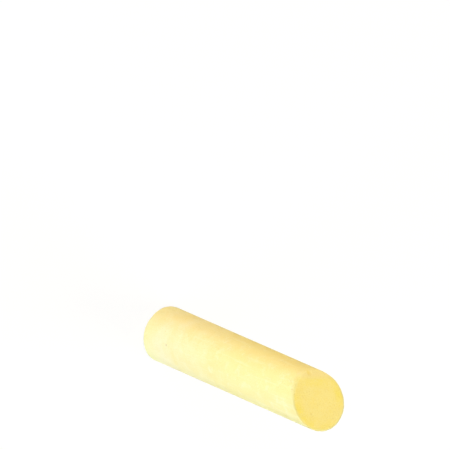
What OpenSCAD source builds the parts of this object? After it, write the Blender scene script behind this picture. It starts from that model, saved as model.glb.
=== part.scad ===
// A round stick of pressed chalk, standing on its flat end.
// The origin is the middle of the flat end, and +Z runs along the stick.
// The top end is cut at a slant, with the long side of the stick at +Y.

/* [Barrel] */
// Diameter of the round barrel
barrel_d = 15.875; // [9:0.125:25]
// Length along the middle of the stick, from the flat end to the slanted face
stick_l = 72.4; // [30:0.1:110]
// Radius of the small round at the edge of the flat end
base_round = 0.9; // [0.4:0.1:2]

/* [Slanted face] */
// Lean of the slanted face away from a square cut, in degrees
slant = 24; // [5:1:30]
// Radius of the soft round that handling leaves along the rim
rim_round = 1; // [0.6:0.1:1.8]
// How far in from the barrel's side the face starts to round over
rim_land = 0.4; // [0.3:0.1:1]
// Slope at which the rim's arc runs out into a straight flank, in degrees
rim_slope = 45; // [40:1:55]

/* [Wear] */
// Direction of the worn side of the rim, in degrees around from +X
worn_side = 246; // [0:1:359]
// How far in from the edge of the slanted face the worn flat reaches
worn_w = 2.05; // [1.2:0.05:3]
// Lean of the worn flat below the slanted face, in degrees
worn_slope = 25; // [15:1:45]
// How far down the worn flat the middle of the nick lies, from the flat's upper edge
nick_out = 1.3; // [1:0.1:1.8]
// How far along the worn flat the nick lies, counterclockwise from the flat's middle
nick_along = 2.1; // [-3:0.1:3]
// Radius of the ball that hollows the nick
nick_r = 0.9; // [0.5:0.1:1.5]
// Depth of the nick below the worn flat
nick_depth = 0.3; // [0.1:0.05:0.4]

/* [Hidden] */

barrel_r = barrel_d / 2;
// Height of the slanted face at the long side of the barrel
long_side_l = stick_l + barrel_r * tan(slant);
// Reach of the slanted face from its middle towards the worn side, as the slant stretches it
worn_reach = barrel_r * sqrt(pow(cos(worn_side), 2) + pow(sin(worn_side) / cos(slant), 2));
// A length that takes any cut or flank right past the whole stick
beyond = 2 * long_side_l;

// Steps along the arc of the rim
rim_steps = 6;

// Facets around each turned shape
$fn = 96;

// The round barrel, left long at the top for the slanted face to cut
module barrel() {
    rotate_extrude()
    union() {
        square([barrel_r - base_round, beyond]);
        translate([0, base_round])
        square([barrel_r, beyond - base_round]);
        translate([barrel_r - base_round, base_round])
        circle(r = base_round);
    }
}

// Puts its children where z = 0 is the slanted face and the origin is the face's middle
module on_slanted_face() {
    translate([0, 0, stick_l])
    rotate([slant, 0, 0])
    children();
}

// Half section of the worn end: flat face, round rim, then a flank that clears the barrel
module worn_end_section() {
    face_r = barrel_r - rim_land;
    arc = [
        for (i = [0:rim_steps])
        let (a = rim_slope * i / rim_steps)
        [face_r + rim_round * sin(a), rim_round * (cos(a) - 1)]
    ];
    arc_end = arc[rim_steps];
    flank_end = arc_end + beyond * [cos(rim_slope), -sin(rim_slope)];
    polygon(concat([[0, 0]], arc, [flank_end, [0, flank_end[1]]]));
}

// The slanted face with its worn rim, reaching down around the whole barrel
module worn_end() {
    rotate_extrude()
    worn_end_section();
}

// Puts its children where z = 0 is the worn flat, +X runs down it, and x = 0 is its upper edge
module on_worn_flat() {
    rotate([0, 0, worn_side])
    translate([worn_reach - worn_w, 0, 0])
    rotate([0, worn_slope, 0])
    children();
}

// What writing took off the rim: everything above the worn flat
module worn_flat_cut() {
    translate([-barrel_r, -barrel_r, 0])
    cube([3 * barrel_r, barrel_d, barrel_d]);
}

// The small hollow nick in the worn flat
module nick_cut() {
    translate([nick_out, nick_along, nick_r - nick_depth])
    sphere(r = nick_r);
}

module chalk_stick() {
    color("khaki")
    difference() {
        intersection() {
            barrel();
            on_slanted_face() worn_end();
        }
        on_slanted_face() on_worn_flat() worn_flat_cut();
        on_slanted_face() on_worn_flat() nick_cut();
    }
}

chalk_stick();
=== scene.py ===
import math
import random

import bmesh
import bpy
from mathutils import Matrix, Vector, kdtree, noise


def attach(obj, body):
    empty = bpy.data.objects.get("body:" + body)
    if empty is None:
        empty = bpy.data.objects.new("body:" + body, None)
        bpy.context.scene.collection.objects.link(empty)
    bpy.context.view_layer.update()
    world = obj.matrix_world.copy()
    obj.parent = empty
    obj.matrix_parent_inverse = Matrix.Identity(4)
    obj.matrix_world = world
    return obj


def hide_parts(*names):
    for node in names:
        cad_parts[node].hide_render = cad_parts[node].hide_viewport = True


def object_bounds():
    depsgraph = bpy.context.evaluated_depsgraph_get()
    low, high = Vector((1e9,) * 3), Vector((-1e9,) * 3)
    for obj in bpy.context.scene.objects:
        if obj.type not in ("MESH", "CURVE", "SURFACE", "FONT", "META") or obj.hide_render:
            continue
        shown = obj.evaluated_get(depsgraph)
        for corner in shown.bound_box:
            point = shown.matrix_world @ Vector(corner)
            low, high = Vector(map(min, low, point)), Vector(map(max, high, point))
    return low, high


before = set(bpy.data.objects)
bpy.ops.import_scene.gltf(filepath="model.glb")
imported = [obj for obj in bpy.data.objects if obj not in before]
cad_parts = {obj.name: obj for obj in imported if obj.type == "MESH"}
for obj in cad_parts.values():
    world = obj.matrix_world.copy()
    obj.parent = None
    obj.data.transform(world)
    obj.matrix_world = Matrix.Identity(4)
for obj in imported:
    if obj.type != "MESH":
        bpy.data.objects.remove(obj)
cadLow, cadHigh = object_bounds()
print("frame loaded, box", list(cadLow), list(cadHigh))

mm = 0.001
scene = bpy.context.scene
barrelR = (cadHigh.x - cadLow.x) / 2

# the stick's form; lengths in metres, directions in degrees around from +X
stick = {
    "length": 72.4 * mm,        # along the axis, to the middle of the slanted face
    "baseRound": 0.9 * mm,      # round at the edge of the flat end
    "slant": 24,                # lean of the slanted face, in degrees
    "rimRound": 1.0 * mm,       # soft round along the rim
    "rimLand": 0.4 * mm,        # where the round starts, in from the barrel's side
    "rimSlope": 45,             # where the round runs out into a straight flank, in degrees
    "rimWear": (                # direction, half breadth, extra land
        (335, 40, 0.12 * mm),
        (120, 25, 0.15 * mm),
    ),
    "ringShadeTone": (               # direction, half breadth, strength of the face's deeper ring of painted shade
        (5, 70, 0.9),
        (176, 46, 0.9),
        (250, 60, 0.6),
        (70, 60, 0.4),
    ),
    "edgeShadeTone": (               # direction, half breadth, strength of the rim's line of painted shade
        (126, 90, 0.9),
        (332, 80, 0.55),
        (0, 400, 0.1),          # faint all the way round
    ),
    "faceFrom": (0.02 * mm, 0.25 * mm),     # in from the barrel's side, as the next three
    "ringOuter": (0.10 * mm, 0.80 * mm),
    "ringInner": (1.30 * mm, 3.40 * mm),
    "edgeIn": (0.30 * mm, 0.90 * mm),
    "edgeBelow": 0.45 * mm,     # down the barrel from the rim
    "wornSide": 246,            # the flat that writing has worn across the rim
    "wornWidth": 2.05 * mm,     # in from the edge of the slanted face
    "wornSlope": 25,            # lean below the slanted face, in degrees
    "wornBlend": 0.25 * mm,     # how softly it meets the face
    "wornFade": (-0.5 * mm, 0.7 * mm),      # past its upper edge, where its tint starts and is whole
    "shadeGoneOnWorn": 0.7,           # share of the rim's line of painted shade that is gone on it
    "nickOut": 1.16 * mm,       # past the upper edge of the worn flat
    "nickAlong": 2.1 * mm,      # along the flat from its middle
    "nickR": 1.0 * mm,
    "nickDepth": 0.30 * mm,
    "nickFade": (0.25, 0.80),   # shares of its radius, where its tint is whole and gone
    "edgeRound": 0.25 * mm,     # the crisp edge that is left between face and barrel
    "leanFrom": 50 * mm,        # below this height the rings stay level
    "leanTries": 5,             # rounds in which a height on the slanted end settles
    "capR": 5.4 * mm,           # inside this both ends are an even grid
    "capSmoothing": 30,         # rounds of smoothing on that grid
    "segments": 288,
    "wallStep": 0.3 * mm,
    "rimStep": 0.15 * mm,
    "roundSteps": 6,
    "mergeGap": 0.001 * mm,     # vertices nearer than this are one
    "levelGap": 0.01 * mm,      # edges nearer than this to a height lie at it
}


def arcPoints(centreR, centreZ, radius, startDeg, endDeg, steps):
    # points of an arc in the half section, its start left out
    made = []
    for i in range(1, steps + 1):
        a = math.radians(startDeg + (endDeg - startDeg) * i / steps)
        made.append((centreR + radius * math.cos(a), centreZ + radius * math.sin(a)))
    return made


def straightPoints(start, end, step):
    # points along a straight run, its start left out
    count = max(1, round(math.dist(start, end) / step))
    return [
        (start[0] + (end[0] - start[0]) * i / count, start[1] + (end[1] - start[1]) * i / count)
        for i in range(1, count + 1)
    ]


def halfSection(s):
    # from the flat end's grid, out, up the barrel and back in over a level top
    low = s["baseRound"]
    edge = s["edgeRound"]
    top = s["length"]
    points = [(s["capR"], 0.0)]
    points += straightPoints(points[-1], (barrelR - low, 0.0), s["rimStep"])
    points += arcPoints(barrelR - low, low, low, -90, 0, s["roundSteps"])
    points += straightPoints(points[-1], (barrelR, top - edge), s["wallStep"])
    points += arcPoints(barrelR - edge, top - edge, edge, 0, 90, s["roundSteps"])
    points += straightPoints(points[-1], (s["capR"], top), s["rimStep"])
    return points


def fillCap(bm, height, s):
    # close one end with an even grid: two opposite quarters of its loop are bridged
    loop = [e for e in bm.edges if e.is_boundary and abs(e.verts[0].co.z - height) < s["levelGap"]]

    def quarter(edge):
        middle = (edge.verts[0].co + edge.verts[1].co) / 2
        return int(((math.atan2(middle.y, middle.x) + math.pi / 4) % math.tau) // (math.pi / 2))

    rails = [e for e in loop if quarter(e) in (0, 2)]
    made = bmesh.ops.grid_fill(bm, edges=rails, mat_nr=0, use_smooth=True)["faces"]
    rim = {v for e in loop for v in e.verts}
    inner = [v for v in {v for f in made for v in f.verts} if v not in rim]
    for _ in range(s["capSmoothing"]):
        bmesh.ops.smooth_vert(
            bm, verts=inner, factor=0.5, use_axis_x=True, use_axis_y=True, use_axis_z=False,
        )


def spunStick(s):
    # the half section spun once around, both ends closed; the top is still level
    bm = bmesh.new()
    corners = [bm.verts.new((r, 0.0, z)) for r, z in halfSection(s)]
    edges = [bm.edges.new(pair) for pair in zip(corners, corners[1:])]
    bmesh.ops.spin(
        bm, geom=corners + edges, cent=(0, 0, 0), axis=(0, 0, 1),
        angle=math.tau, steps=s["segments"], use_merge=True, use_duplicate=False,
    )
    bmesh.ops.remove_doubles(bm, verts=bm.verts, dist=s["mergeGap"])
    fillCap(bm, 0.0, s)
    fillCap(bm, s["length"], s)
    bmesh.ops.recalc_face_normals(bm, faces=bm.faces)
    return bm


def easeOver(value, start, end):
    # 0 before start, 1 past end, smooth between
    t = min(1.0, max(0.0, (value - start) / (end - start)))
    return t * t * (3 - 2 * t)


def softMax(a, b, blend):
    # the larger of two depths, with a rounded crease where they meet
    h = max(blend - abs(a - b), 0.0) / blend
    return max(a, b) + h * h * blend / 4


def aroundSum(here, parts):
    # each part (direction, half breadth, amount) is whole in its direction and eases to 0 beside it
    return sum(
        amount * (1 - easeOver(abs((here - side + 180) % 360 - 180), 0, breadth))
        for side, breadth, amount in parts
    )


def rimLandAt(u, v, s):
    # in from the barrel's side at (u, v) on the face, where the rim's round starts
    return s["rimLand"] + aroundSum(math.degrees(math.atan2(v, u)), s["rimWear"])


def wornPlace(u, v, s):
    # how far past the worn flat's upper edge a place on the face lies, and how far along it
    w = math.radians(s["wornSide"])
    reach = barrelR * math.hypot(math.cos(w), math.sin(w) / math.cos(math.radians(s["slant"])))
    past = u * math.cos(w) + v * math.sin(w) - (reach - s["wornWidth"])
    return past, v * math.cos(w) - u * math.sin(w)


def endDepth(u, v, s):
    # how far the worn end lies under the plain slanted face at (u, v)
    slope = math.radians(s["rimSlope"])
    past = math.hypot(u, v) - (barrelR - rimLandAt(u, v, s))
    arcRun = s["rimRound"] * math.sin(slope)
    if past <= 0:
        depth = 0.0
    elif past < arcRun:
        depth = s["rimRound"] - math.sqrt(s["rimRound"] ** 2 - past ** 2)
    else:
        depth = s["rimRound"] * (1 - math.cos(slope)) + (past - arcRun) * math.tan(slope)
    out, along = wornPlace(u, v, s)
    depth = softMax(depth, out * math.tan(math.radians(s["wornSlope"])), s["wornBlend"])
    far = math.hypot(out - s["nickOut"], along - s["nickAlong"])
    if far < s["nickR"]:
        depth += s["nickDepth"] * (1 - (far / s["nickR"]) ** 2) ** 2
    return depth


def topHeight(x, y, s):
    # height of the worn slanted end over (x, y)
    lean = math.radians(s["slant"])
    depth = 0.0
    v = y / math.cos(lean)
    for _ in range(s["leanTries"]):
        depth = endDepth(x, v, s)
        v = (y - depth * math.sin(lean)) / math.cos(lean)
    return s["length"] + v * math.sin(lean) - depth * math.cos(lean)


def leanTop(bm, s):
    # raise and lower the level top to the worn slanted end, and the rings below it in step
    top = s["length"] - s["edgeRound"]
    for vert in bm.verts:
        x, y, z = vert.co
        share = min(1.0, max(0.0, (z - s["leanFrom"]) / (top - s["leanFrom"])))
        if share > 0:
            vert.co.z += share * (topHeight(x, y, s) - s["length"])


def markEnd(bm, s):
    # while the top is still level: how far each vertex belongs to the cut face, its deeper ring of
    # painted shade, the rim's line of painted shade, the worn flat and the nick
    names = ("cutFace", "faceRingShade", "rimShadeLine", "wornFlat", "nick")
    marks = {name: bm.verts.layers.float.new(name) for name in names}
    lean = math.radians(s["slant"])
    for vert in bm.verts:
        x, y, z = vert.co
        down = s["length"] - z
        if down > s["edgeBelow"]:
            continue
        r = math.hypot(x, y)
        here = math.degrees(math.atan2(y, x))
        out, along = wornPlace(x, y / math.cos(lean), s)
        face = easeOver(barrelR - r, *s["faceFrom"]) * easeOver(-down, -s["edgeRound"], 0)
        worn = easeOver(out, *s["wornFade"])
        inside = min(barrelR - r, -out)
        ring = easeOver(inside, *s["ringOuter"]) * (1 - easeOver(inside, *s["ringInner"]))
        edge = (1 - easeOver(barrelR - r, *s["edgeIn"])) * (1 - easeOver(down, 0, s["edgeBelow"]))
        nick = math.hypot(out - s["nickOut"], along - s["nickAlong"]) / s["nickR"]
        vert[marks["cutFace"]] = face
        vert[marks["faceRingShade"]] = face * ring * min(1.0, aroundSum(here, s["ringShadeTone"]))
        shadeAround = min(1.0, aroundSum(here, s["edgeShadeTone"]))
        vert[marks["rimShadeLine"]] = edge * (1 - s["shadeGoneOnWorn"] * worn) * shadeAround
        vert[marks["wornFlat"]] = face * worn
        vert[marks["nick"]] = 1 - easeOver(nick, *s["nickFade"])


# how uneven the pressed surface is, and its pits
surface = {
    "swell": ((13 * mm, 0.030 * mm), (4.5 * mm, 0.018 * mm), (1.1 * mm, 0.014 * mm)),   # size, height
    "chips": ((1.6 * mm, 0.12 * mm), (0.6 * mm, 0.14 * mm)),    # size, depth
    "chipShift": Vector((3.1, 7.7, 1.9)),   # where in the noise the chips lie
    "chipBand": (0.3 * mm, 1.2 * mm),       # away from the edge, whole and gone
    "chipBelow": 0.5 * mm,                  # the band at the rim starts this far below the face
    "baseWear": ((-30, 80, 0.38 * mm),),    # direction, half breadth, depth along the flat end's edge
    "baseWearMost": 0.21 * mm,              # the depth at which that wear levels off
    "baseWearBand": (0.3 * mm, 1.5 * mm),
    "pits": 110,
    "pitR": (0.30 * mm, 0.70 * mm),
    "pitDepth": (0.02 * mm, 0.08 * mm),
    "pitFrom": 3 * mm,                      # above the flat end
    "pitBelow": 5 * mm,                     # below the middle of the slanted face
    "speckSide": 338.1,                     # one darker, deeper pit
    "speckHeight": 11.6 * mm,
    "speckR": 0.42 * mm,
    "speckDepth": 0.12 * mm,
    "seed": 11,
}


def pitPlaces(surf, s):
    # scattered pits on the barrel, with the dark speck first
    rand = random.Random(surf["seed"])
    side = math.radians(surf["speckSide"])
    place = Vector((barrelR * math.cos(side), barrelR * math.sin(side), surf["speckHeight"]))
    made = [(place, surf["speckR"], surf["speckDepth"])]
    for _ in range(surf["pits"]):
        side = rand.uniform(0, math.tau)
        height = rand.uniform(surf["pitFrom"], s["length"] - surf["pitBelow"])
        place = Vector((barrelR * math.cos(side), barrelR * math.sin(side), height))
        made.append((place, rand.uniform(*surf["pitR"]), rand.uniform(*surf["pitDepth"])))
    return made


def roughen(bm, surf, s):
    # an uneven skin, wear at the flat end, small chips along both edges, and pits; all goes inwards
    bm.normal_update()
    bm.verts.ensure_lookup_table()
    normals = [v.normal.copy() for v in bm.verts]
    sink = [0.0] * len(bm.verts)
    tree = kdtree.KDTree(len(bm.verts))
    lean = math.radians(s["slant"])
    for i, vert in enumerate(bm.verts):
        tree.insert(vert.co, i)
        for size, height in surf["swell"]:
            sink[i] += height * (0.5 + 0.5 * noise.noise(vert.co / size))
        x, y, z = vert.co
        r = math.hypot(x, y)
        below = s["length"] + y * math.tan(lean) - z - surf["chipBelow"]
        fromRim = math.hypot(barrelR - r, max(0.0, below))
        fromBase = math.hypot(barrelR - r, z)
        worn = min(surf["baseWearMost"], aroundSum(math.degrees(math.atan2(y, x)), surf["baseWear"]))
        sink[i] += worn * (1 - easeOver(fromBase, *surf["baseWearBand"]))
        edge = 1 - easeOver(min(fromRim, fromBase), *surf["chipBand"])
        for size, depth in surf["chips"]:
            if edge > 0:
                sink[i] += depth * edge * max(0.0, noise.noise(vert.co / size + surf["chipShift"]))
    tree.balance()
    speckMark = bm.verts.layers.float.new("speck")
    for n, (place, radius, depth) in enumerate(pitPlaces(surf, s)):
        for _, i, far in tree.find_range(place, radius):
            fall = (1 - (far / radius) ** 2) ** 2
            sink[i] += depth * fall
            if n == 0:
                bm.verts[i][speckMark] = fall
    for vert, normal, depth in zip(bm.verts, normals, sink):
        vert.co -= normal * depth


def finishMesh(bm, name, material):
    mesh = bpy.data.meshes.new(name)
    bm.to_mesh(mesh)
    bm.free()
    mesh.shade_smooth()
    piece = bpy.data.objects.new(name, mesh)
    scene.collection.objects.link(piece)
    piece.data.materials.append(material)
    return piece


# ivory chalk: colours, how far each shows, its patterns and its bumps
chalk = {
    # pale towards the flat end, deeper body towards the slanted end: painted shade and warm
    # reflection from a neighbouring stick
    "pale": (0.930, 0.868, 0.600, 1),       # towards the flat end
    "lemon": (0.912, 0.902, 0.520, 1),      # along the flat end's edge
    "body": (0.918, 0.840, 0.430, 1),       # towards the slanted end
    "bodyDeep": (0.905, 0.785, 0.350, 1),
    "powder": (0.945, 0.900, 0.640, 1),
    "face": (0.935, 0.866, 0.385, 1),
    "faceDeep": (0.930, 0.848, 0.335, 1),
    # painted shade: the deeper ring inside the face's rim
    "ring": (0.930, 0.848, 0.210, 1),
    # painted shade: the grey line along the rim where its round turns away from the lamps
    "edge": (0.780, 0.790, 0.440, 1),
    "worn": (0.950, 0.890, 0.500, 1),
    "nick": (0.955, 0.860, 0.360, 1),
    "pore": (0.830, 0.700, 0.310, 1),
    "grit": (0.860, 0.740, 0.330, 1),
    "dirt": (0.640, 0.560, 0.360, 1),
    "specular": 0.12,
    "diffuseRoughness": 0.5,
    "roughness": (0.86, 1.0),               # between the grain's smoothest and roughest

    # noise: repeats a metre, detail, roughness
    "wander": (170 / 3, 2, 0.5),
    "lumps": (840, 4, 0.6),
    "scratches": (2600, 3, 0.6),
    "grain": (4200, 3, 0.65),

    # patches: the same, then the stretch of the noise that shows, and its least and most
    "clouds": (170, 3, 0.55, 0.38, 0.68, 0.0, 0.6),
    "smudges": (420, 5, 0.7, 0.52, 0.68, 0.0, 0.6),
    "streaks": (1100, 3, 0.6, 0.54, 0.72, 0.0, 0.5),
    "faceClouds": (340, 4, 0.6, 0.38, 0.68, 0.0, 1.0),
    "ringPatches": (340, 3, 0.6, 0.36, 0.56, 0.3, 1.0),
    "poreFields": (420, 2, 0.5, 0.40, 0.62, 0.0, 1.0),
    "streakSqueeze": (1, 1, 0.06),          # streaks run along the stick
    "scratchSqueeze": (1, 0.07, 1),         # scratches run up the slant

    # heights above the flat end, once the wander is added, where a tint is whole and gone
    "wanderBy": 20 * mm,
    "lengthShadeBand": (20 * mm, 52 * mm),
    "lemonBand": (9 * mm, 18 * mm),
    "lemonMost": 0.8,

    # stretch of a value that shows, and what its two ends become
    "scratchLight": (0.55, 0.75, 0.0, 0.5),
    "grainPowder": (0.52, 0.72, 0.0, 0.5),
    "grainGrit": (0.28, 0.48, 0.6, 0.0),
    "grainRoughness": (0.3, 0.7),
    "poreShrink": (0.25, 0.75, 1.0, 7.0),   # from a cell's random value to how small its pore is
    "poreEdge": (0.14, 0.32, 1.0, 0.0),
    "poreScale": 1500,
    "poreTint": 0.45,

    "lumpBump": 0.14 * mm,
    "poreBump": 0.12 * mm,
    "grainBump": 0.16 * mm,
    "scratchBump": 0.10 * mm,
}


def chalkMaterial(c, wornSide):
    # base colour from the tinted body, the cut face and their marks, then roughness and four bumps
    material = bpy.data.materials.new("ivoryChalk")
    material.use_nodes = True
    nodes = material.node_tree.nodes
    links = material.node_tree.links
    shader = nodes["Principled BSDF"]
    shader.inputs["Specular IOR Level"].default_value = c["specular"]
    shader.inputs["Diffuse Roughness"].default_value = c["diffuseRoughness"]
    place = nodes.new("ShaderNodeTexCoord")

    def stretched(scale, turn=0.0):
        # object coordinates squeezed along one way, then turned about the stick
        mapping = nodes.new("ShaderNodeMapping")
        mapping.inputs["Rotation"].default_value = (0, 0, turn)
        mapping.inputs["Scale"].default_value = scale
        links.new(place.outputs["Object"], mapping.inputs["Vector"])
        return mapping.outputs["Vector"]

    def noiseMap(scale, detail, rough, vector=None):
        node = nodes.new("ShaderNodeTexNoise")
        node.inputs["Scale"].default_value = scale
        node.inputs["Detail"].default_value = detail
        node.inputs["Roughness"].default_value = rough
        links.new(vector or place.outputs["Object"], node.inputs["Vector"])
        return node.outputs["Fac"]

    def spread(value, low, high, lowTo=0.0, highTo=1.0):
        node = nodes.new("ShaderNodeMapRange")
        node.inputs["From Min"].default_value = low
        node.inputs["From Max"].default_value = high
        node.inputs["To Min"].default_value = lowTo
        node.inputs["To Max"].default_value = highTo
        links.new(value, node.inputs["Value"])
        return node.outputs["Result"]

    def patches(name, vector=None):
        scale, detail, rough, low, high, least, most = c[name]
        return spread(noiseMap(scale, detail, rough, vector), low, high, least, most)

    def product(first, second):
        node = nodes.new("ShaderNodeMath")
        node.operation = "MULTIPLY"
        links.new(first, node.inputs[0])
        links.new(second, node.inputs[1])
        return node.outputs[0]

    def mark(name):
        node = nodes.new("ShaderNodeAttribute")
        node.attribute_type = "GEOMETRY"
        node.attribute_name = name
        return node.outputs["Fac"]

    def blend(fac, under, over):
        # colour over laid on under; each is a link or a plain colour
        node = nodes.new("ShaderNodeMix")
        node.data_type = "RGBA"
        links.new(fac, node.inputs[0])
        for colour, socket in ((under, node.inputs[6]), (over, node.inputs[7])):
            if isinstance(colour, tuple):
                socket.default_value = colour
            else:
                links.new(colour, socket)
        return node.outputs[2]

    def bumpOf(height, distance, under=None):
        node = nodes.new("ShaderNodeBump")
        node.inputs["Distance"].default_value = distance
        links.new(height, node.inputs["Height"])
        if under is not None:
            links.new(under, node.inputs["Normal"])
        return node.outputs["Normal"]

    cutFace = mark("cutFace")
    grain = noiseMap(*c["grain"])
    lumps = noiseMap(*c["lumps"])
    scratches = noiseMap(*c["scratches"], stretched(c["scratchSqueeze"], math.radians(-wornSide)))

    # pinholes of mixed size, one in each cell
    cells = nodes.new("ShaderNodeTexVoronoi")
    cells.inputs["Scale"].default_value = c["poreScale"]
    links.new(place.outputs["Object"], cells.inputs["Vector"])
    shrink = spread(cells.outputs["Color"], *c["poreShrink"])
    holes = spread(product(cells.outputs["Distance"], shrink), *c["poreEdge"])
    pores = product(holes, patches("poreFields"))

    # height above the flat end, wandering up and down
    apart = nodes.new("ShaderNodeSeparateXYZ")
    links.new(place.outputs["Object"], apart.inputs[0])
    wander = nodes.new("ShaderNodeMath")
    wander.operation = "MULTIPLY_ADD"
    links.new(noiseMap(*c["wander"]), wander.inputs[0])
    wander.inputs[1].default_value = c["wanderBy"]
    links.new(apart.outputs["Z"], wander.inputs[2])
    upStick = wander.outputs[0]

    # painted shade and warm reflection: deeper yellow towards the slanted end
    body = blend(spread(upStick, *c["lengthShadeBand"]), c["pale"], c["body"])
    body = blend(patches("clouds"), body, c["bodyDeep"])
    body = blend(patches("streaks", stretched(c["streakSqueeze"])), body, c["powder"])
    body = blend(patches("smudges"), body, c["powder"])
    body = blend(spread(upStick, *c["lemonBand"], c["lemonMost"], 0.0), body, c["lemon"])

    face = blend(patches("faceClouds"), c["face"], c["faceDeep"])
    face = blend(spread(scratches, *c["scratchLight"]), face, c["worn"])
    # painted shade: a deeper ring inside the face's rim, stronger on some sides
    face = blend(product(mark("faceRingShade"), patches("ringPatches")), face, c["ring"])
    face = blend(mark("wornFlat"), face, c["worn"])

    colour = blend(cutFace, body, face)
    # painted shade: a grey line along the rim
    colour = blend(mark("rimShadeLine"), colour, c["edge"])
    colour = blend(mark("nick"), colour, c["nick"])
    colour = blend(spread(grain, *c["grainPowder"]), colour, c["powder"])
    colour = blend(spread(grain, *c["grainGrit"]), colour, c["grit"])
    colour = blend(spread(pores, 0.0, 1.0, 0.0, c["poreTint"]), colour, c["pore"])
    colour = blend(mark("speck"), colour, c["dirt"])
    links.new(colour, shader.inputs["Base Color"])
    links.new(spread(grain, *c["grainRoughness"], *c["roughness"]), shader.inputs["Roughness"])

    normal = bumpOf(lumps, c["lumpBump"])
    normal = bumpOf(product(scratches, cutFace), c["scratchBump"], normal)
    normal = bumpOf(spread(pores, 0.0, 1.0, 1.0, 0.0), c["poreBump"], normal)
    normal = bumpOf(grain, c["grainBump"], normal)
    links.new(normal, shader.inputs["Normal"])
    return material


def makeStick():
    bm = spunStick(stick)
    markEnd(bm, stick)
    leanTop(bm, stick)
    roughen(bm, surface, stick)
    piece = finishMesh(bm, "chalkBody", chalkMaterial(chalk, stick["wornSide"]))
    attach(piece, "root")
    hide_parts("chalk_stick")
    print("stick made,", len(piece.data.polygons), "faces")


# the view: which way the stick lies in the picture, and how large
view = {
    "picture": 450,                 # picture width and height, pixels
    "pixelsPerMetre": 3660,
    "axisFromCamera": 39.465,       # angle between the stick's axis and the line of sight
    "azimuth": 47.7,                # camera's way round the stick, 0 looks along +Y
    "axisTurn": 23.283,             # how far below level the axis runs to the right
    "aimHeight": 72 * mm,           # the place on the axis that lies at aimAt
    "aimAt": (317.4, 400.2),        # pixels from the left and from the top
    "distance": 5.0,                # far off, so that the lens is long and the sides stay parallel
    "sensor": 36,
    "clip": (0.1, 12.0),
}


def cameraBasis(v):
    # right, up and towards-the-viewer as directions in the stick's frame
    a = math.radians(v["azimuth"])
    t = math.radians(v["axisFromCamera"])
    turn = math.radians(v["axisTurn"])
    level = Vector((math.sin(a), -math.cos(a), 0))
    towards = level * math.sin(t) + Vector((0, 0, 1)) * math.cos(t)
    axisWay = Vector((0, 0, 1)) * math.sin(t) - level * math.cos(t)   # the axis as it shows
    crossWay = towards.cross(axisWay)
    right = axisWay * math.cos(turn) + crossWay * math.sin(turn)
    up = crossWay * math.cos(turn) - axisWay * math.sin(turn)
    return right, up, towards


def makeCamera(v):
    right, up, towards = cameraBasis(v)
    middle = (v["picture"] - 1) / 2
    width = v["picture"] / v["pixelsPerMetre"]
    target = Vector((0, 0, v["aimHeight"]))
    target += right * (middle - v["aimAt"][0]) / v["pixelsPerMetre"]
    target -= up * (middle - v["aimAt"][1]) / v["pixelsPerMetre"]
    data = bpy.data.cameras.new("camera")
    data.sensor_width = v["sensor"]
    data.lens = v["sensor"] * v["distance"] / width
    data.clip_start, data.clip_end = v["clip"]
    camera = bpy.data.objects.new("camera", data)
    turnMatrix = Matrix((right, up, towards)).transposed().to_4x4()
    camera.matrix_world = Matrix.Translation(target + towards * v["distance"]) @ turnMatrix
    scene.collection.objects.link(camera)
    scene.camera = camera
    print("camera made, lens", round(data.lens))


# soft lamps round the stick: side as the camera's azimuth, lift in degrees above the floor
lamps = {
    "keyLamp": {"side": 87.2, "lift": 7.3, "watts": 2.78, "colour": (0.60, 0.78, 1.00)},
    "frontLamp": {"side": 39.3, "lift": 54.4, "watts": 1.77, "colour": (1.00, 0.82, 0.60)},
    "warmLamp": {"side": 345.9, "lift": 20, "watts": 0.88, "colour": (1.00, 0.68, 0.12)},
    "edgeLamp": {"side": 180, "lift": 15, "watts": 0.60, "colour": (1.00, 0.86, 0.15)},
    "backLamp": {"side": 227.7, "lift": 35, "watts": 2.30, "colour": (1.00, 0.93, 0.76)},
}
lampSize = 0.35         # side of each square lamp, metres
lampDistance = 0.6      # from the middle of the stick
worldColour = (0.268, 0.262, 0.198)     # the light from all around


def makeLamp(name, lamp):
    side = math.radians(lamp["side"])
    lift = math.radians(lamp["lift"])
    level = Vector((math.sin(side), -math.cos(side), 0))
    direction = level * math.cos(lift) + Vector((0, 0, math.sin(lift)))
    data = bpy.data.lights.new(name, "AREA")
    data.size = lampSize
    data.energy = lamp["watts"]
    data.color = lamp["colour"]
    made = bpy.data.objects.new(name, data)
    made.location = Vector((0, 0, stick["length"] / 2)) + direction * lampDistance
    made.rotation_mode = "QUATERNION"
    made.rotation_quaternion = direction.to_track_quat("Z", "Y")
    made.visible_camera = False
    scene.collection.objects.link(made)


def seenDirect(nodes, links):
    # 1 for camera, glossy and transmission rays, 0 for the light that reaches the object
    path = nodes.new("ShaderNodeLightPath")
    total = path.outputs["Is Camera Ray"]
    for name in ("Is Glossy Ray", "Is Transmission Ray"):
        both = nodes.new("ShaderNodeMath")
        both.operation = "MAXIMUM"
        links.new(total, both.inputs[0])
        links.new(path.outputs[name], both.inputs[1])
        total = both.outputs[0]
    return total


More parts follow.
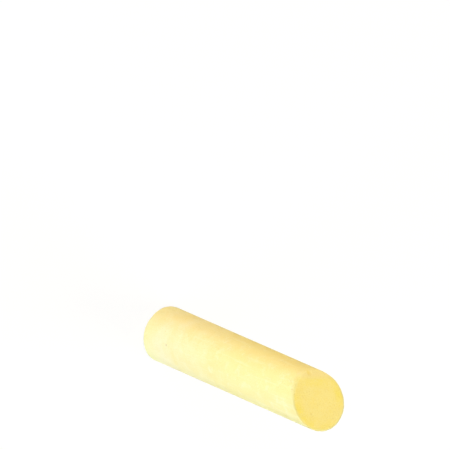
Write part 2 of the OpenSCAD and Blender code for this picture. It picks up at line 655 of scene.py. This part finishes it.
def makeWorld(colour):
    # plain white where it is seen, and the given colour as light
    world = bpy.data.worlds.new("studio")
    world.use_nodes = True
    nodes = world.node_tree.nodes
    links = world.node_tree.links
    nodes.clear()
    out = nodes.new("ShaderNodeOutputWorld")
    mix = nodes.new("ShaderNodeMixShader")
    seen = nodes.new("ShaderNodeBackground")
    light = nodes.new("ShaderNodeBackground")
    seen.inputs["Color"].default_value = (1, 1, 1, 1)
    light.inputs["Color"].default_value = (*colour, 1)
    links.new(seenDirect(nodes, links), mix.inputs[0])
    links.new(light.outputs[0], mix.inputs[1])
    links.new(seen.outputs[0], mix.inputs[2])
    links.new(mix.outputs[0], out.inputs[0])
    scene.world = world
    print("world made")


# the pale floor: a matte white, mostly glowing white where it is seen, so that its shadow is faint
floorLook = {
    "size": 2.5,
    "matte": (0.88, 0.88, 0.88, 1),
    "glow": (0.965, 0.975, 1.0, 1),
    "glowStrength": 1.07,
    "glowShare": 0.82,
}


def makeFloor(look):
    bm = bmesh.new()
    bmesh.ops.create_grid(bm, x_segments=1, y_segments=1, size=look["size"])
    material = bpy.data.materials.new("paleFloor")
    material.use_nodes = True
    nodes = material.node_tree.nodes
    links = material.node_tree.links
    nodes.clear()
    out = nodes.new("ShaderNodeOutputMaterial")
    mix = nodes.new("ShaderNodeMixShader")
    matte = nodes.new("ShaderNodeBsdfDiffuse")
    glow = nodes.new("ShaderNodeEmission")
    share = nodes.new("ShaderNodeMath")
    share.operation = "MULTIPLY"
    share.inputs[1].default_value = look["glowShare"]
    matte.inputs["Color"].default_value = look["matte"]
    glow.inputs["Color"].default_value = look["glow"]
    glow.inputs["Strength"].default_value = look["glowStrength"]
    links.new(seenDirect(nodes, links), share.inputs[0])
    links.new(share.outputs[0], mix.inputs[0])
    links.new(matte.outputs[0], mix.inputs[1])
    links.new(glow.outputs[0], mix.inputs[2])
    links.new(mix.outputs[0], out.inputs[0])
    floor = finishMesh(bm, "floor", material)
    print("floor made")


makeCamera(view)
makeFloor(floorLook)
makeWorld(worldColour)
for lampName, lampSettings in lamps.items():
    makeLamp(lampName, lampSettings)
print("lamps made,", len(lamps))
makeStick()

scene.view_settings.view_transform = "Standard"
